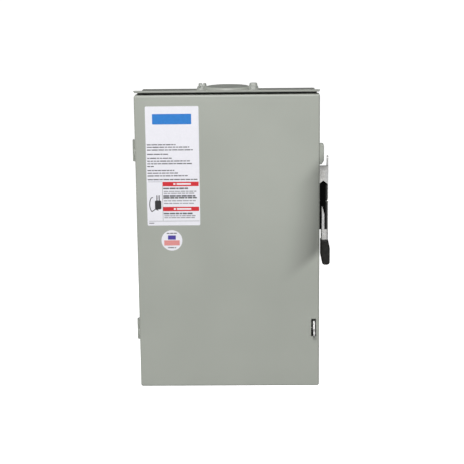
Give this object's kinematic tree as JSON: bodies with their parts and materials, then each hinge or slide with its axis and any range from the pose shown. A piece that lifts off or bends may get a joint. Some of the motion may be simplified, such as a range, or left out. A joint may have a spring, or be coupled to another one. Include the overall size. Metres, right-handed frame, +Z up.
{
  "type": "ac disconnect box",
  "caption": "Outdoor fusible safety switch: rainproof steel box with a hinged door, a drip hood, a side handle on a rotary blade switch, a padlockable latch and lugs inside.",
  "frame": {"origin": "centre of the four wall-screw holes, on the flat back face", "axes": "+X to the right of someone facing the door, +Y into the wall, +Z up; the door faces -Y"},
  "size_m": [0.3327, 0.1636, 0.5084],
  "materials": {
    "enclosure_paint": "semi-gloss powder coat, pale grey-green",
    "door_paint": "semi-gloss powder coat, pale grey-green",
    "zinc_plate": "zinc plated",
    "galvanised": "galvanised, satin",
    "bright_plate": "bright plated",
    "black_moulding": "moulded, fine texture",
    "dark_phenolic": "moulded thermoset, satin",
    "red_insulator": "moulded thermoset, satin",
    "grey_fibre": "pressed fibre board",
    "tinned_copper": "tin plated copper",
    "bare_copper": "bright copper",
    "lug_aluminium": "tin plated, extruded",
    "spring_steel": "oiled",
    "clear_plastic": "clear polycarbonate",
    "nylon_white": "natural nylon",
    "gasket_rubber": "closed-cell sheet",
    "label_stock": "printed vinyl film",
    "card_stock": "printed film"
  },
  "bodies": {
    "enclosure": {"enclosure_shell": "enclosure_paint", "top_endwall": "enclosure_paint", "bottom_endwall": "enclosure_paint", "drip_shield": "enclosure_paint", "hub_closure_plate": "enclosure_paint", "hub_closure_gasket": "gasket_rubber", "hub_closure_screws": "zinc_plate", "bottom_knockout_slugs": "enclosure_paint", "wall_knockout_slugs": "enclosure_paint", "hinge_body_leaves": "enclosure_paint", "hinge_pins": "zinc_plate", "mounting_pan": "galvanised", "pan_nuts": "zinc_plate", "line_base": "dark_phenolic", "line_jaws": "tinned_copper", "line_lugs": "lug_aluminium", "lug_screws": "zinc_plate", "fuse_base": "dark_phenolic", "base_screws": "zinc_plate", "load_jaws": "tinned_copper", "upper_fuse_clips": "tinned_copper", "lower_fuse_clips": "tinned_copper", "fuse_clip_springs": "spring_steel", "load_lugs": "lug_aluminium", "arc_chute_sides": "grey_fibre", "arc_chute_plates": "galvanised", "line_shield": "clear_plastic", "line_shield_screws": "nylon_white", "rotor_bearings": "dark_phenolic", "mechanism_frame": "galvanised", "shaft_bushing": "nylon_white", "neutral_base": "dark_phenolic", "neutral_bar": "tinned_copper", "neutral_lugs": "lug_aluminium", "bonding_strap": "bare_copper", "ground_bar": "lug_aluminium", "terminal_screws": "zinc_plate", "handle_base": "bright_plate", "handle_base_rivets": "bright_plate", "latch_strike": "enclosure_paint"},
    "door": {"door_panel": "door_paint", "hinge_door_leaves": "door_paint", "rating_label": "label_stock", "round_sticker": "label_stock", "interlock_pocket": "door_paint", "door_interlock_bracket": "galvanised", "wiring_card": "card_stock", "latch_bracket": "galvanised", "latch_pin": "zinc_plate"},
    "latch": {"latch_hook": "bright_plate", "latch_spring": "spring_steel"},
    "handle": {"handle_yoke": "black_moulding", "handle_lever": "bright_plate", "handle_grip": "black_moulding", "handle_shaft": "zinc_plate", "handle_screw": "zinc_plate", "drive_crank": "galvanised", "operating_spring": "spring_steel"},
    "rotor": {"rotor_drum": "red_insulator", "switch_blades": "bare_copper"}
  },
  "joints": [
    {"name": "door_hinge", "type": "hinge", "parent": "enclosure", "child": "door", "pos_m": [-0.1545, -0.1255, 0], "axis": [0, 0, -1], "range_deg": [0, 120]},
    {"name": "latch_turn", "type": "hinge", "parent": "door", "child": "latch", "pos_m": [0.1435, -0.141, -0.15], "axis": [-1, 0, 0], "range_deg": [0, 12], "stiffness_Nm_per_rad": 0.05},
    {"name": "handle_turn", "type": "hinge", "parent": "enclosure", "child": "handle", "pos_m": [0.16, -0.066, 0.075], "axis": [-1, 0, 0], "range_deg": [0, 95]},
    {"name": "rotor_turn", "type": "hinge", "parent": "enclosure", "child": "rotor", "pos_m": [0.01, -0.066, 0.075], "axis": [-1, 0, 0], "range_deg": [0, 57]}
  ],
  "couplings": [
    {"joint": "rotor_turn", "follows": "handle_turn", "ratio": 0.6}
  ]
}
